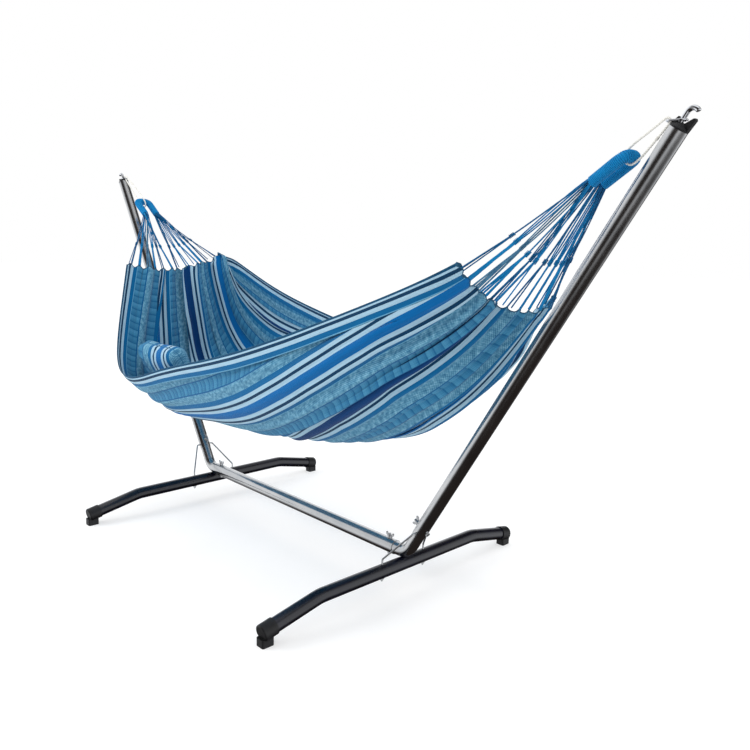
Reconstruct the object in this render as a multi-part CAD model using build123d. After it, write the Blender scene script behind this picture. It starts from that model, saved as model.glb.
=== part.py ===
"""A fabric hammock hung between the two leaning arms of a free-standing steel tube stand.

Frame: +X runs along the base tube, +Y across it, +Z is up, and the origin is on the floor
at the middle of the stand. "right" is the +X end and "left" the -X end; "front" is -Y and
"back" +Y. Everything is in millimetres.
"""
from build123d import *
from math import acos, atan2, cos, radians, sin
import os

# ---- stand: driving dimensions ----
FOOT_X = 582.0            # distance of each foot tube from the middle
FOOT_HALF = 550.0         # half length of a foot tube
FOOT_BEND_Y = 350.0       # where a foot tube bends down towards the floor
FOOT_MID_Z = 82.0         # axis height of the raised middle of a foot
FOOT_END_Z = 40.0         # axis height at the ends of a foot
FOOT_OD = 45.0
FOOT_BEND_R = 150.0
BASE_OD = 48.0
ARM_OD = 45.6
ELBOW_OD = 43.0
SLEEVE_BORE = 43.2        # bore of the base tube and of the arms, which sleeve over the elbows
THIN_WALL = 1.5
FRAME_Z = 125.0           # axis height of the base tube
CORNER_X = 601.0          # where the base axis and an arm axis would meet
ARM_ANGLE = 58.25         # lean of an arm above the floor, degrees
ELBOW_R = 60.0
ARM_START = 90.0          # lower end of an arm, measured from the corner along its axis
ARM_END = 1463.6          # upper end of an arm
BASE_END_X = 548.0        # end of the base tube
ELBOW_IN_BASE_X = 470.0   # inner end of an elbow, inside the base tube
ELBOW_IN_ARM = 180.0      # upper end of an elbow, inside the arm

CAP_WALL = 3.0            # foot cap's sleeve over the foot tube
CAP_GAP = 0.05
CAP_OVERHANG = 9.0        # cap beyond the end of the foot tube
CAP_SLEEVE = 36.0         # cap along the foot tube
PAD_SIZE = (34.0, 40.0, 24.0)
PAD_INSET = 6.0           # pad's middle from the end of the foot tube

# ---- fasteners ----
BOLT_R = 4.0
BOLT_CLEAR = 0.1
BOLT_TAIL = 17.0          # shank beyond the tube it clamps
BOLT_HEAD = (7.5, 5.3)    # hexagon's corner radius and height
BASE_BOLT_X = 519.0
ARM_BOLT_T = 118.0
NUT_BORE_GAP = 0.05
NUT_HUB = (8.0, 6.0, 9.0)  # wing nut's hub: radius at the seat, radius at the top, height
NUT_EAR_T = 3.2
NUT_EAR = [(4.0, 1.0), (6.5, 1.0), (16.0, 9.0), (18.0, 16.0), (14.5, 19.0), (10.0, 16.0), (4.0, 8.0)]
SEAT_GAP = 0.3            # running gap under a wing nut
STAY_R = 3.0
STAY_Y = 95.0             # where a stay passes through the foot
STAY_T = 104.0            # where a stay hooks into the arm
STAY_FOOT_Z = 122.0       # where a stay turns upright above the foot
STAY_BEND_R = 9.0
STAY_TOP_Y = (13.0, 36.0)  # a stay's straight top, from inside the arm to its bend
STAY_TAIL = 34.0          # a stay's lower end below the foot's axis
STAY_WASHER = (8.0, 1.6)  # radius and thickness
STAY_NUT = (5.8, 5.0)     # corner radius and height

# ---- hook end: distances "out" from the arm axis and "along" it past the arm's top ----
HOOK_R = 6.0
HOOK_SHANK_OUT = -5.0
HOOK_BEND_ALONG = 38.0
HOOK_BEND_R = 14.0
HOOK_BEND_SWEEP = 125.0
HOOK_ROOT = 42.0          # hook's lower end below the arm's top
PLUG_DEPTHS = (40.0, 30.0)  # faces of the hook's welded disc below the arm's top
CROWN_DEPTH = 25.0
CROWN_RIM = 4.0
CROWN_CONE = (12.0, 14.0)  # radius and height of the crown's top
INNER_POINT = [(-22.5, 1.0), (-21.0, 8.0), (-15.0, 23.0), (-12.0, 18.0), (-10.0, 1.0)]
OUTER_PRONG = [(8.0, 1.0), (5.5, 13.0), (18.5, 33.0), (22.0, 35.0), (25.5, 32.0), (22.5, 1.0)]
INNER_POINT_HALF = 5.0
OUTER_PRONG_HALF = 6.0
RING_WIRE_R = 2.5
RING_HALF_WIDTH = 11.0
RING_TOP = (4.5, 24.0)    # (out, along) of the ring's seat behind the hook's shank
RING_LOW = (-34.0, 1.6)   # (out, along) of the ring's free end

# ---- hammock ----
ROPE_R = 3.0
ROPE_BEND_R = 7.0         # round the ring's wire
LOOP_BAND_R = 15.0        # wrapped band of an end loop
LOOP_HALF_WIDTH = 28.0
LOOP_LENGTH = 115.0
LOOP_TILT = 35.0          # slope of an end loop towards its hook, degrees
LOOP_TIP = {"right": (1278.0, 1328.0), "left": (-1196.0, 1283.0)}
CORD_R = 2.5
CORDS_PER_END = 12
CORD_RING_R = 9.5         # circle on which six cords leave each leg of an end loop
CORD_START_GAP = 3.0      # cords start this far beyond the end of a leg
CLOTH_T = 5.0
CLOTH_GAP = 1.0           # cords stop this far from the cloth's thick solid
# Each station of the cloth: x, then (y, z) of the front edge, the lowest line and the back edge.
CLOTH_STATIONS = [
    (-890.0, (-222.0, 1004.0), (-8.0, 978.0), (222.0, 1040.0)),
    (-852.0, (-272.0, 820.0), (-44.0, 745.0), (262.0, 1025.0)),
    (-790.0, (-325.0, 612.0), (-72.0, 500.0), (296.0, 990.0)),
    (-640.0, (-366.0, 565.0), (-84.0, 405.0), (324.0, 920.0)),
    (-300.0, (-392.0, 635.0), (-68.0, 388.0), (338.0, 825.0)),
    (100.0, (-388.0, 735.0), (-38.0, 405.0), (344.0, 765.0)),
    (500.0, (-352.0, 865.0), (2.0, 490.0), (328.0, 795.0)),
    (800.0, (-272.0, 990.0), (26.0, 660.0), (280.0, 845.0)),
    (950.0, (-222.0, 1067.0), (30.0, 940.0), (222.0, 965.0)),
]
PILLOW_SIZE = (330.0, 115.0, 200.0)
PILLOW_CENTRE = (-600.0, -198.0, 594.0)
PILLOW_LEAN = 25.0        # lean against the front side of the cloth, degrees
PILLOW_R = 50.0
PILLOW_T = 3.0            # cover and the packed layer of stuffing behind it

ENDS = {"right": 1.0, "left": -1.0}
SIDES = {"front": -1.0, "back": 1.0}
UP = radians(ARM_ANGLE)
PARTS = {}


def keep(name, shape):
    """Remember a finished sub-part under its node name."""
    PARTS[name] = shape


def on_arm(end, t, out=0.0, y=0.0):
    """A point t along an arm's axis from the corner, out from it away from the hammock."""
    x = CORNER_X + t * cos(UP) + out * sin(UP)
    z = FRAME_Z + t * sin(UP) - out * cos(UP)
    return Vector(ENDS[end] * x, y, z)


def at_top(end, out, along, y=0.0):
    """A point given by its distances out from and along past the top of an arm."""
    return on_arm(end, ARM_END + along, out, y)


def rod(start, finish, r):
    """A round bar between two points."""
    start, finish = Vector(*start), Vector(*finish)
    run = finish - start
    return extrude(Plane(origin=start, z_dir=run) * Circle(r), run.length)


def pipe(start, finish, r_out, r_in):
    """A straight tube between two points."""
    return rod(start, finish, r_out) - rod(start, finish, r_in)


def swept(path, r_out, r_in=None):
    """A round section, hollow where r_in is given, carried along a path."""
    plane = Plane(origin=path @ 0, z_dir=path % 0)
    solid = sweep(plane * Circle(r_out), path=path)
    if r_in:
        solid -= sweep(plane * Circle(r_in), path=path)
    return solid


def slab(end, outline, half_width):
    """A plate across Y whose outline is given in (out, along) at the top of an arm."""
    corners = [at_top(end, out, along, -half_width) for out, along in outline]
    face = make_face(Polyline(*corners, close=True))
    return extrude(face, 2 * half_width, dir=(0, 1, 0))


# ---- feet ----
def foot_axis(end):
    """Axis of a foot: raised in the middle and bent down to the floor at both ends."""
    x = ENDS[end] * FOOT_X
    points = [(x, -FOOT_HALF, FOOT_END_Z), (x, -FOOT_BEND_Y, FOOT_MID_Z)]
    points += [(x, FOOT_BEND_Y, FOOT_MID_Z), (x, FOOT_HALF, FOOT_END_Z)]
    return FilletPolyline(*points, radius=FOOT_BEND_R)


def foot_tube(end):
    """Arched foot tube with the two holes for its stays."""
    tube = swept(foot_axis(end), FOOT_OD / 2, FOOT_OD / 2 - THIN_WALL)
    for side in SIDES.values():
        x, y = ENDS[end] * FOOT_X, side * STAY_Y
        tube -= rod((x, y, 0), (x, y, 2 * FOOT_MID_Z), STAY_R + BOLT_CLEAR)
    return tube


def foot_cap(end, side):
    """Moulded cap over a foot's end, with the pad that stands on the floor."""
    x, s = ENDS[end] * FOOT_X, SIDES[side]
    slope = (FOOT_MID_Z - FOOT_END_Z) / (FOOT_HALF - FOOT_BEND_Y)
    tip = Vector(x, s * FOOT_HALF, FOOT_END_Z)
    inward = Vector(0, -s, slope).normalized()
    sleeve = rod(tip - inward * CAP_OVERHANG, tip + inward * CAP_SLEEVE, FOOT_OD / 2 + CAP_WALL)
    sleeve = fillet(sleeve.edges().group_by(Axis.Y)[-1 if s > 0 else 0], 5)
    pad = Pos(x, s * (FOOT_HALF - PAD_INSET), PAD_SIZE[2] / 2) * Box(*PAD_SIZE)
    pad = fillet(pad.edges().filter_by(Axis.Z), 6)
    return sleeve + pad - rod(tip, tip + inward * 2 * CAP_SLEEVE, FOOT_OD / 2 + CAP_GAP)


# ---- frame tubes ----
def base_tube():
    """Long tube that sleeves over both elbows, bolted upright at each end."""
    tube = pipe((-BASE_END_X, 0, FRAME_Z), (BASE_END_X, 0, FRAME_Z), BASE_OD / 2, SLEEVE_BORE / 2)
    for s in ENDS.values():
        x = s * BASE_BOLT_X
        tube -= rod((x, 0, 0), (x, 0, 2 * FRAME_Z), BOLT_R + BOLT_CLEAR)
    return tube


def arm_bolt_hole(end):
    """The hole for the bolt that holds an arm to its elbow."""
    return rod(on_arm(end, ARM_BOLT_T, -60), on_arm(end, ARM_BOLT_T, 60), BOLT_R + BOLT_CLEAR)


def stay_hole(end):
    """The cross hole into which both stays of one end are hooked."""
    return rod(on_arm(end, STAY_T, 0, -60), on_arm(end, STAY_T, 0, 60), STAY_R + BOLT_CLEAR)


def elbow_tube(end):
    """Bent tube that joins the base tube to an arm and rests on the foot."""
    s = ENDS[end]
    start = (s * ELBOW_IN_BASE_X, 0, FRAME_Z)
    corner = (s * CORNER_X, 0, FRAME_Z)
    path = FilletPolyline(start, corner, on_arm(end, ELBOW_IN_ARM), radius=ELBOW_R)
    tube = swept(path, ELBOW_OD / 2, ELBOW_OD / 2 - THIN_WALL)
    x = s * BASE_BOLT_X
    tube -= rod((x, 0, 0), (x, 0, 2 * FRAME_Z), BOLT_R + BOLT_CLEAR)
    return tube - arm_bolt_hole(end) - stay_hole(end)


def arm_tube(end):
    """Straight leaning tube that sleeves over the upper part of an elbow."""
    tube = pipe(on_arm(end, ARM_START), on_arm(end, ARM_END), ARM_OD / 2, SLEEVE_BORE / 2)
    return tube - arm_bolt_hole(end) - stay_hole(end)


# ---- fasteners: a bolt's axis runs from its head to its tip ----
def bolt(start, direction, grip):
    """Hex bolt: the head's underside is at start, and the shank passes grip and the nut."""
    plane = Plane(origin=start, z_dir=direction)
    head = extrude(plane * RegularPolygon(BOLT_HEAD[0], 6), -BOLT_HEAD[1])
    shank = extrude(plane * Circle(BOLT_R), grip + BOLT_TAIL)
    return head + shank


def wing_nut(start, direction):
    """Wing nut whose seat is at start: a tapered hub with two rounded ears."""
    plane = Plane(origin=start, z_dir=direction)
    low_r, top_r, height = NUT_HUB
    hub = loft([plane * Circle(low_r), plane.offset(height) * Circle(top_r)])
    ear_plane = Plane(origin=start, x_dir=plane.x_dir, z_dir=plane.y_dir)
    for s in (-1, 1):
        outline = make_face(Polyline(*((s * across, -up) for across, up in NUT_EAR), close=True))
        hub += extrude(ear_plane * outline, NUT_EAR_T / 2, both=True)
    return hub - extrude(plane.offset(-1) * Circle(BOLT_R + NUT_BORE_GAP), 3 * height)


def stay_rod(end, side):
    """A stay: its top is hooked into the arm's side, its foot runs down through the foot tube."""
    s, x = SIDES[side], ENDS[end] * FOOT_X
    points = [on_arm(end, STAY_T, 0, s * y) for y in STAY_TOP_Y]
    points += [Vector(x, s * STAY_Y, STAY_FOOT_Z), Vector(x, s * STAY_Y, FOOT_MID_Z - STAY_TAIL)]
    return swept(FilletPolyline(*points, radius=STAY_BEND_R), STAY_R)


def under_foot(r_across, z_top, thickness, sides=None):
    """Nuts or washers on the stays' lower ends, one under each stay."""
    solids = []
    for end in ENDS.values():
        for side in SIDES.values():
            plane = Plane(origin=(end * FOOT_X, side * STAY_Y, z_top), z_dir=(0, 0, -1))
            outline = RegularPolygon(r_across, sides) if sides else Circle(r_across)
            solids.append(extrude(plane * (outline - Circle(STAY_R + BOLT_CLEAR)), thickness))
    return Compound(children=solids)


# ---- hook end ----
def hook_rod(end):
    """Round bar rising from the arm and curling over outwards."""
    base = at_top(end, HOOK_SHANK_OUT, -HOOK_ROOT)
    bend = at_top(end, HOOK_SHANK_OUT, HOOK_BEND_ALONG)

    def on_bend(angle):
        out = HOOK_SHANK_OUT + HOOK_BEND_R * (1 - cos(radians(angle)))
        return at_top(end, out, HOOK_BEND_ALONG + HOOK_BEND_R * sin(radians(angle)))

    tip = on_bend(HOOK_BEND_SWEEP)
    path = Line(base, bend) + ThreePointArc(bend, on_bend(HOOK_BEND_SWEEP / 2), tip)
    body = swept(path, HOOK_R)
    end_face = body.faces().filter_by(GeomType.PLANE).sort_by_distance(tip)[0]
    return fillet(end_face.edges(), 2.5)


def hook_plug(end):
    """Steel disc inside the arm, to which the hook is welded."""
    low, high = (at_top(end, 0, -depth) for depth in PLUG_DEPTHS)
    shank = rod(at_top(end, HOOK_SHANK_OUT, -2 * HOOK_ROOT), at_top(end, HOOK_SHANK_OUT, 0), HOOK_R)
    return rod(low, high, SLEEVE_BORE / 2 - BOLT_CLEAR) - shank


def arm_crown(end):
    """Black end cap: a plug with a low cone, a short inner point and a long outer prong."""
    top = at_top(end, 0, 0)
    rim_top, cone_top = at_top(end, 0, CROWN_RIM), at_top(end, 0, CROWN_CONE[1])
    plug = rod(at_top(end, 0, -CROWN_DEPTH), top, SLEEVE_BORE / 2 - BOLT_CLEAR)
    rim = rod(top, rim_top, ARM_OD / 2)
    low, high = (Plane(origin=point, z_dir=cone_top - top) for point in (rim_top, cone_top))
    cone = loft([low * Circle(ARM_OD / 2), high * Circle(CROWN_CONE[0])])
    points = slab(end, INNER_POINT, INNER_POINT_HALF) + slab(end, OUTER_PRONG, OUTER_PRONG_HALF)
    low, high = (at_top(end, HOOK_SHANK_OUT, along) for along in (-HOOK_ROOT, HOOK_ROOT))
    return plug + rim + cone + points - rod(low, high, HOOK_R + BOLT_CLEAR)


def hanging_ring(end):
    """Oblong wire ring lying behind the hook's shank and over the inner edge of the crown."""
    top, low = at_top(end, *RING_TOP), at_top(end, *RING_LOW)
    run = (low - top).normalized()
    across = Vector(0, RING_HALF_WIDTH, 0)
    a, b = top + run * RING_HALF_WIDTH, low - run * RING_HALF_WIDTH
    path = Line(a - across, b - across) + ThreePointArc(b - across, low, b + across)
    path += Line(b + across, a + across) + ThreePointArc(a + across, top, a - across)
    return swept(path, RING_WIRE_R)


# ---- hammock suspension ----
def loop_direction(end):
    return Vector(ENDS[end] * cos(radians(LOOP_TILT)), 0, sin(radians(LOOP_TILT)))


def loop_tip(end):
    x, z = LOOP_TIP[end]
    return Vector(x, 0, z)


def end_loop(end):
    """Wrapped eye: a U-shaped band with its bight towards the hook."""
    d = loop_direction(end)
    apex = loop_tip(end) - d * LOOP_BAND_R
    turn = apex - d * LOOP_HALF_WIDTH
    base = loop_tip(end) - d * LOOP_LENGTH
    across = Vector(0, LOOP_HALF_WIDTH, 0)
    path = Line(base - across, turn - across) + ThreePointArc(turn - across, apex, turn + across)
    path += Line(turn + across, base + across)
    return swept(path, LOOP_BAND_R)


def hanging_rope(end):
    """Rope lashing from the ring to the end loop: a belt round the wire and the wrapped band."""
    small, r1 = at_top(end, *RING_LOW), ROPE_BEND_R
    big, r2 = loop_tip(end) - loop_direction(end) * LOOP_BAND_R, LOOP_BAND_R + ROPE_R + SEAT_GAP
    run = big - small
    heading = atan2(run.Z, run.X)
    open_angle = acos((r1 - r2) / run.length)

    def at(centre, r, angle):
        return centre + Vector(r * cos(angle), 0, r * sin(angle))

    upper, lower = heading + open_angle, heading - open_angle
    far_side = heading + radians(180)
    path = Line(at(small, r1, upper), at(big, r2, upper))
    path += ThreePointArc(at(big, r2, upper), at(big, r2, heading), at(big, r2, lower))
    path += Line(at(big, r2, lower), at(small, r1, lower))
    path += ThreePointArc(at(small, r1, lower), at(small, r1, far_side), at(small, r1, upper))
    return swept(path, ROPE_R)


def cloth_edge(end):
    """The curve along which the cords are tied to one end of the cloth."""
    x, front, low, back = CLOTH_STATIONS[-1 if end == "right" else 0]
    return ThreePointArc((x, *front), (x, *low), (x, *back))


def cord_line(end, index):
    """Where cord number index leaves the end loop and where it meets the cloth."""
    per_leg = CORDS_PER_END // 2
    side = -1 if index < per_leg else 1
    place = index % per_leg
    angle = radians(360 * (place + 0.5) / per_leg)
    d = loop_direction(end)
    normal = Vector(-d.Z, 0, d.X)
    leg = loop_tip(end) - d * (LOOP_LENGTH + CORD_START_GAP) + Vector(0, side * LOOP_HALF_WIDTH, 0)
    start = leg + normal * (CORD_RING_R * sin(angle)) + Vector(0, -CORD_RING_R * cos(angle), 0)
    tie = cloth_edge(end) @ ((index + 0.5) / CORDS_PER_END)
    run = tie - start
    return start, start + run * (1 - CLOTH_GAP / run.length)


def suspension_cords(end):
    return Compound(children=[rod(*cord_line(end, i), CORD_R) for i in range(CORDS_PER_END)])


# ---- cloth and pillow ----
def cloth_section(station):
    """A crescent: the inner arc is the cloth's inner face and the outer arc its underside."""
    x, front, low, back = station
    inner = ThreePointArc((x, *front), (x, *low), (x, *back))
    outer_front, outer_back = (front[0] - CLOTH_T, front[1]), (back[0] + CLOTH_T, back[1])
    outer = ThreePointArc((x, *outer_front), (x, low[0], low[1] - CLOTH_T), (x, *outer_back))
    rims = Line((x, *front), (x, *outer_front)) + Line((x, *back), (x, *outer_back))
    return make_face(inner + outer + rims)


def hammock_cloth():
    return loft([cloth_section(station) for station in CLOTH_STATIONS], ruled=True)


def rounded_block(size, r):
    block = Box(*size)
    return fillet(block.edges(), r)


def pillow():
    """A hollow rounded block, so that its weight is that of a light stuffed cover."""
    hollow = rounded_block([side - 2 * PILLOW_T for side in PILLOW_SIZE], PILLOW_R - PILLOW_T)
    shell = rounded_block(PILLOW_SIZE, PILLOW_R) - hollow
    return Pos(*PILLOW_CENTRE) * Rot(PILLOW_LEAN, 0, 0) * shell


def build():
    keep("base_tube", base_tube())
    for end, s in ENDS.items():
        keep(f"foot_tube_{end}", foot_tube(end))
        keep(f"elbow_tube_{end}", elbow_tube(end))
        keep(f"arm_tube_{end}", arm_tube(end))
        base_top = (s * BASE_BOLT_X, 0, FRAME_Z + BASE_OD / 2 + SEAT_GAP)
        base_low = (s * BASE_BOLT_X, 0, FRAME_Z - BASE_OD / 2 - SEAT_GAP)
        keep(f"base_bolt_{end}", bolt(base_low, (0, 0, 1), BASE_OD))
        keep(f"base_wing_nut_{end}", wing_nut(base_top, (0, 0, 1)))
        outer, inner = (on_arm(end, ARM_BOLT_T, o * (ARM_OD / 2 + SEAT_GAP)) for o in (1, -1))
        keep(f"arm_bolt_{end}", bolt(outer, inner - outer, ARM_OD))
        keep(f"arm_wing_nut_{end}", wing_nut(inner, inner - outer))
        for side in SIDES:
            keep(f"foot_cap_{end}_{side}", foot_cap(end, side))
            keep(f"stay_rod_{end}_{side}", stay_rod(end, side))
        keep(f"hook_rod_{end}", hook_rod(end))
        keep(f"hook_plug_{end}", hook_plug(end))
        keep(f"arm_crown_{end}", arm_crown(end))
        keep(f"hanging_ring_{end}", hanging_ring(end))
        keep(f"hanging_rope_{end}", hanging_rope(end))
        keep(f"end_loop_{end}", end_loop(end))
        keep(f"suspension_cords_{end}", suspension_cords(end))
    washer_top = FOOT_MID_Z - FOOT_OD / 2 - SEAT_GAP
    washer_r, washer_t = STAY_WASHER
    nut_r, nut_t = STAY_NUT
    keep("stay_washers", under_foot(washer_r, washer_top, washer_t))
    keep("stay_nuts", under_foot(nut_r, washer_top - washer_t, nut_t, sides=6))
    keep("hammock_cloth", hammock_cloth())
    keep("pillow", pillow())


build()
os.makedirs("parts", exist_ok=True)
for name, shape in PARTS.items():
    export_step(shape, f"parts/{name}.step")
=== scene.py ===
"""Hammock on stand: cloth, cords, pillow, finishes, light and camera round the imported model.

Everything is in metres in the model's own frame: +Z up, +X along the base tube, +Y away from the camera's
side. The stand's solids show as packed, with procedural finishes. The cloth, the pillow, the end loops, the
suspension cords and the hanging ropes are modelled here in place of their solids.
"""
from math import cos, pi, radians, sin

import bmesh
import bpy
import numpy as np
from mathutils import Matrix, Vector


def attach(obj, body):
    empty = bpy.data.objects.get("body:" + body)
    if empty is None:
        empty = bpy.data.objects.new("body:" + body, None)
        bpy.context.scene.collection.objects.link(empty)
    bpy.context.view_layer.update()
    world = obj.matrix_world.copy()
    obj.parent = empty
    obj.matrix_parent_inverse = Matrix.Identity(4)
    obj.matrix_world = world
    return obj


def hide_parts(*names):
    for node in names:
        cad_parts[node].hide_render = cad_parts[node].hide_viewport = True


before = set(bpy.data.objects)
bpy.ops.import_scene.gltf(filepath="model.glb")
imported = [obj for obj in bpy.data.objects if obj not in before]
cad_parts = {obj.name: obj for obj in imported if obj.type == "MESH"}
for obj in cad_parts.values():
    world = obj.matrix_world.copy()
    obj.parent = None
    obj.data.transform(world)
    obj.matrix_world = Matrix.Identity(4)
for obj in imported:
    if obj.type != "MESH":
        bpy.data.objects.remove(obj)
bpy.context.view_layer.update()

ENDS = {"right": 1.0, "left": -1.0}
SIDES = ("front", "back")


# ---- camera ----
CAMERA_PLACE = Vector((2.1305, -1.6285, 1.1048))
CAMERA_YAW, CAMERA_PITCH, CAMERA_ROLL = radians(43.723), radians(10.140), radians(1.4365)


def camera_matrix():
    """The camera looks down by the pitch, across by the yaw, and is turned about its own view by the roll."""
    level_look = Vector((-cos(CAMERA_YAW), sin(CAMERA_YAW), 0))
    look = level_look * cos(CAMERA_PITCH) - Vector((0, 0, sin(CAMERA_PITCH)))
    level = look.cross(Vector((0, 0, 1))).normalized()
    upright = level.cross(look)
    right = level * cos(CAMERA_ROLL) + upright * sin(CAMERA_ROLL)
    up = right.cross(look)
    turn = Matrix((right, up, -look)).transposed().to_4x4()
    return Matrix.Translation(CAMERA_PLACE) @ turn


def add_camera():
    data = bpy.data.cameras.new("camera")
    data.lens, data.sensor_width = 35.08, 36.0
    camera = bpy.data.objects.new("camera", data)
    bpy.context.scene.collection.objects.link(camera)
    camera.matrix_world = camera_matrix()
    bpy.context.scene.camera = camera


# ---- node materials ----
BLACK, WHITE = (0, 0, 0, 1), (1, 1, 1, 1)


def tone(red, green, blue):
    """Linear colour from screen values of 0 to 255."""
    return tuple((c / 255) ** 2.2 for c in (red, green, blue)) + (1.0,)


class Nodes:
    """A node tree under construction."""

    def __init__(self, tree):
        self.tree = tree

    def set(self, node, socket, value):
        target = node.inputs[socket]
        if isinstance(value, bpy.types.NodeSocket):
            self.tree.links.new(value, target)
        else:
            target.default_value = value

    def node(self, kind, sockets=None, **settings):
        made = self.tree.nodes.new("ShaderNode" + kind)
        for key, value in settings.items():
            setattr(made, key, value)
        for socket, value in (sockets or {}).items():
            self.set(made, socket, value)
        return made

    def math(self, operation, a, b=0.0):
        return self.node("Math", {0: a, 1: b}, operation=operation).outputs[0]

    def grey(self, factor, low, high, start=0.0, end=1.0, **settings):
        """factor from start to end, mapped to low to high."""
        sockets = {"Value": factor, "From Min": start, "From Max": end, "To Min": low, "To Max": high}
        return self.node("MapRange", sockets, **settings).outputs["Result"]

    def blend(self, factor, a, b, mode="MIX"):
        made = self.node("Mix", {"Factor": factor}, data_type="RGBA", blend_type=mode)
        self.set(made, 6, a)
        self.set(made, 7, b)
        return made.outputs[2]


class Finish(Nodes):
    """A Principled material under construction."""

    def __init__(self, name, **settings):
        self.material = bpy.data.materials.new(name)
        self.material.use_nodes = True
        super().__init__(self.material.node_tree)
        self.shader = self.tree.nodes["Principled BSDF"]
        self.into(**settings)

    def place(self, scale=(1.0, 1.0, 1.0)):
        """Object coordinates, scaled."""
        return self.scaled(self.node("TexCoord").outputs["Object"], scale)

    def scaled(self, vector, scale):
        return self.node("Mapping", {"Vector": vector, "Scale": scale}).outputs["Vector"]

    def wave(self, vector, length):
        """Sine of a coordinate, from -1 to 1, that repeats after a length in metres."""
        return self.math("SINE", self.math("MULTIPLY", vector, 2 * pi / length))

    def noise(self, vector, scale, detail=3.0, roughness=0.5):
        sockets = {"Vector": vector, "Scale": scale, "Detail": detail, "Roughness": roughness}
        return self.node("TexNoise", sockets).outputs["Fac"]

    def ramp(self, factor, stops, steps=False):
        """Colour by factor. stops are (place, colour)."""
        made = self.node("ValToRGB", {"Fac": factor})
        made.color_ramp.interpolation = "CONSTANT" if steps else "LINEAR"
        elements = made.color_ramp.elements
        elements[0].position, elements[0].color = stops[0]
        elements[1].position, elements[1].color = stops[-1]
        for place, colour in stops[1:-1]:
            elements.new(place).color = colour
        return made.outputs["Color"]

    def bump(self, height, distance, strength=1.0, under=None):
        sockets = {"Height": height, "Distance": distance, "Strength": strength}
        if under is not None:
            sockets["Normal"] = under
        return self.node("Bump", sockets).outputs["Normal"]

    def into(self, **sockets):
        for socket, value in sockets.items():
            self.set(self.shader, socket.replace("_", " "), value)
        return self.material


def steel_finish(name, grain):
    """Polished steel tube with hand smudges and faint drawing lines along it, whose scale is grain."""
    finish = Finish(name, Metallic=1.0)
    lines = finish.noise(finish.place(grain), 1.0, 2.0)
    smudge = finish.noise(finish.place(), 9.0, 4.0)
    colour = finish.ramp(smudge, [(0.3, (0.44, 0.45, 0.46, 1)), (0.7, (0.56, 0.56, 0.56, 1))])
    rough = finish.math("ADD", finish.grey(lines, 0.0, 0.09), finish.grey(smudge, 0.12, 0.2))
    return finish.into(Base_Color=colour, Roughness=rough, Normal=finish.bump(lines, 0.0002, 0.35))


def black_coat_finish():
    """Glossy blue-black powder coat with slight orange peel and a little dust on top."""
    finish = Finish("black_coat", Coat_Weight=0.3, Coat_Roughness=0.1)
    peel = finish.noise(finish.place(), 420.0, 2.0)
    patch = finish.noise(finish.place(), 14.0, 4.0)
    colour = finish.ramp(patch, [(0.35, tone(4, 7, 22)), (0.7, tone(9, 13, 32))])
    rough = finish.grey(patch, 0.2, 0.36)
    return finish.into(Base_Color=colour, Roughness=rough, Normal=finish.bump(peel, 0.0003, 0.25))


def black_plastic_finish():
    """Moulded black plastic with a fine grain."""
    finish = Finish("black_plastic", Specular_IOR_Level=0.45)
    grain = finish.node("TexVoronoi", {"Vector": finish.place(), "Scale": 900.0}).outputs["Distance"]
    wear = finish.noise(finish.place(), 40.0, 5.0)
    colour = finish.ramp(wear, [(0.35, tone(12, 12, 14)), (0.75, tone(30, 30, 33))])
    rough = finish.grey(wear, 0.42, 0.62)
    return finish.into(Base_Color=colour, Roughness=rough, Normal=finish.bump(grain, 0.0004, 0.4))


def hardware_finish(name, dark, light, rough):
    """Plated hardware with a mottled surface."""
    finish = Finish(name, Metallic=1.0)
    mottle = finish.noise(finish.place(), 160.0, 4.0)
    colour = finish.ramp(mottle, [(0.3, dark), (0.7, light)])
    shine = finish.grey(mottle, rough - 0.06, rough + 0.1)
    return finish.into(Base_Color=colour, Roughness=shine, Normal=finish.bump(mottle, 0.0002, 0.2))


def yarn_finish(name, dark, light):
    """Cotton yarn: fibres, slight unevenness of the dye and a soft sheen."""
    finish = Finish(name, Sheen_Weight=0.08, Sheen_Roughness=0.5, Specular_IOR_Level=0.15)
    fibre = finish.noise(finish.place(), 700.0, 3.0, 0.7)
    dye = finish.noise(finish.place(), 35.0, 2.0)
    both = finish.math("ADD", finish.math("MULTIPLY", fibre, 0.6), finish.math("MULTIPLY", dye, 0.4))
    colour = finish.ramp(both, [(0.32, dark), (0.68, light)])
    return finish.into(Base_Color=colour, Roughness=finish.grey(fibre, 0.7, 0.95),
                       Normal=finish.bump(fibre, 0.0008, 0.6))


# The woven stripes repeat across the cloth. Each stripe is (width in metres, kind).
REPEAT = (
    (0.015, "blue"), (0.002, "line"), (0.042, "check"), (0.005, "thin"), (0.044, "ladder"), (0.005, "thin"),
    (0.040, "check"), (0.018, "blue"), (0.014, "white"), (0.010, "dark"), (0.014, "white"), (0.038, "wide"),
    (0.014, "white"), (0.010, "dark"), (0.013, "white"),
)
REPEAT_WIDTH = sum(width for width, _ in REPEAT)
FIRST_REPEAT = 0.034       # the first repeat starts this far in from the front selvedge
EDGE_STRIPE = 0.006
TICK, TICK_ROW = 0.0075, 0.0062        # the checks' fine ticks: along and across
RUNG, FINE_RIB = 0.030, 0.0042         # the ladder's squares and their ribs, along
WARP, WEFT = 0.0013, 0.0016            # spacing of the threads
CLOTH_WIDTH = 1.375
CLOTH_LENGTH = 2.48
SHADES = {
    "blue": tone(14, 96, 147), "line": tone(99, 160, 195), "check": tone(88, 143, 175),
    "dark": tone(18, 58, 89), "thin": tone(20, 88, 138), "ladder": tone(63, 133, 173),
    "white": tone(156, 191, 212), "wide": tone(0, 98, 162),
}
OTHER_WIDE = tone(7, 60, 111)     # every second wide stripe is navy


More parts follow.
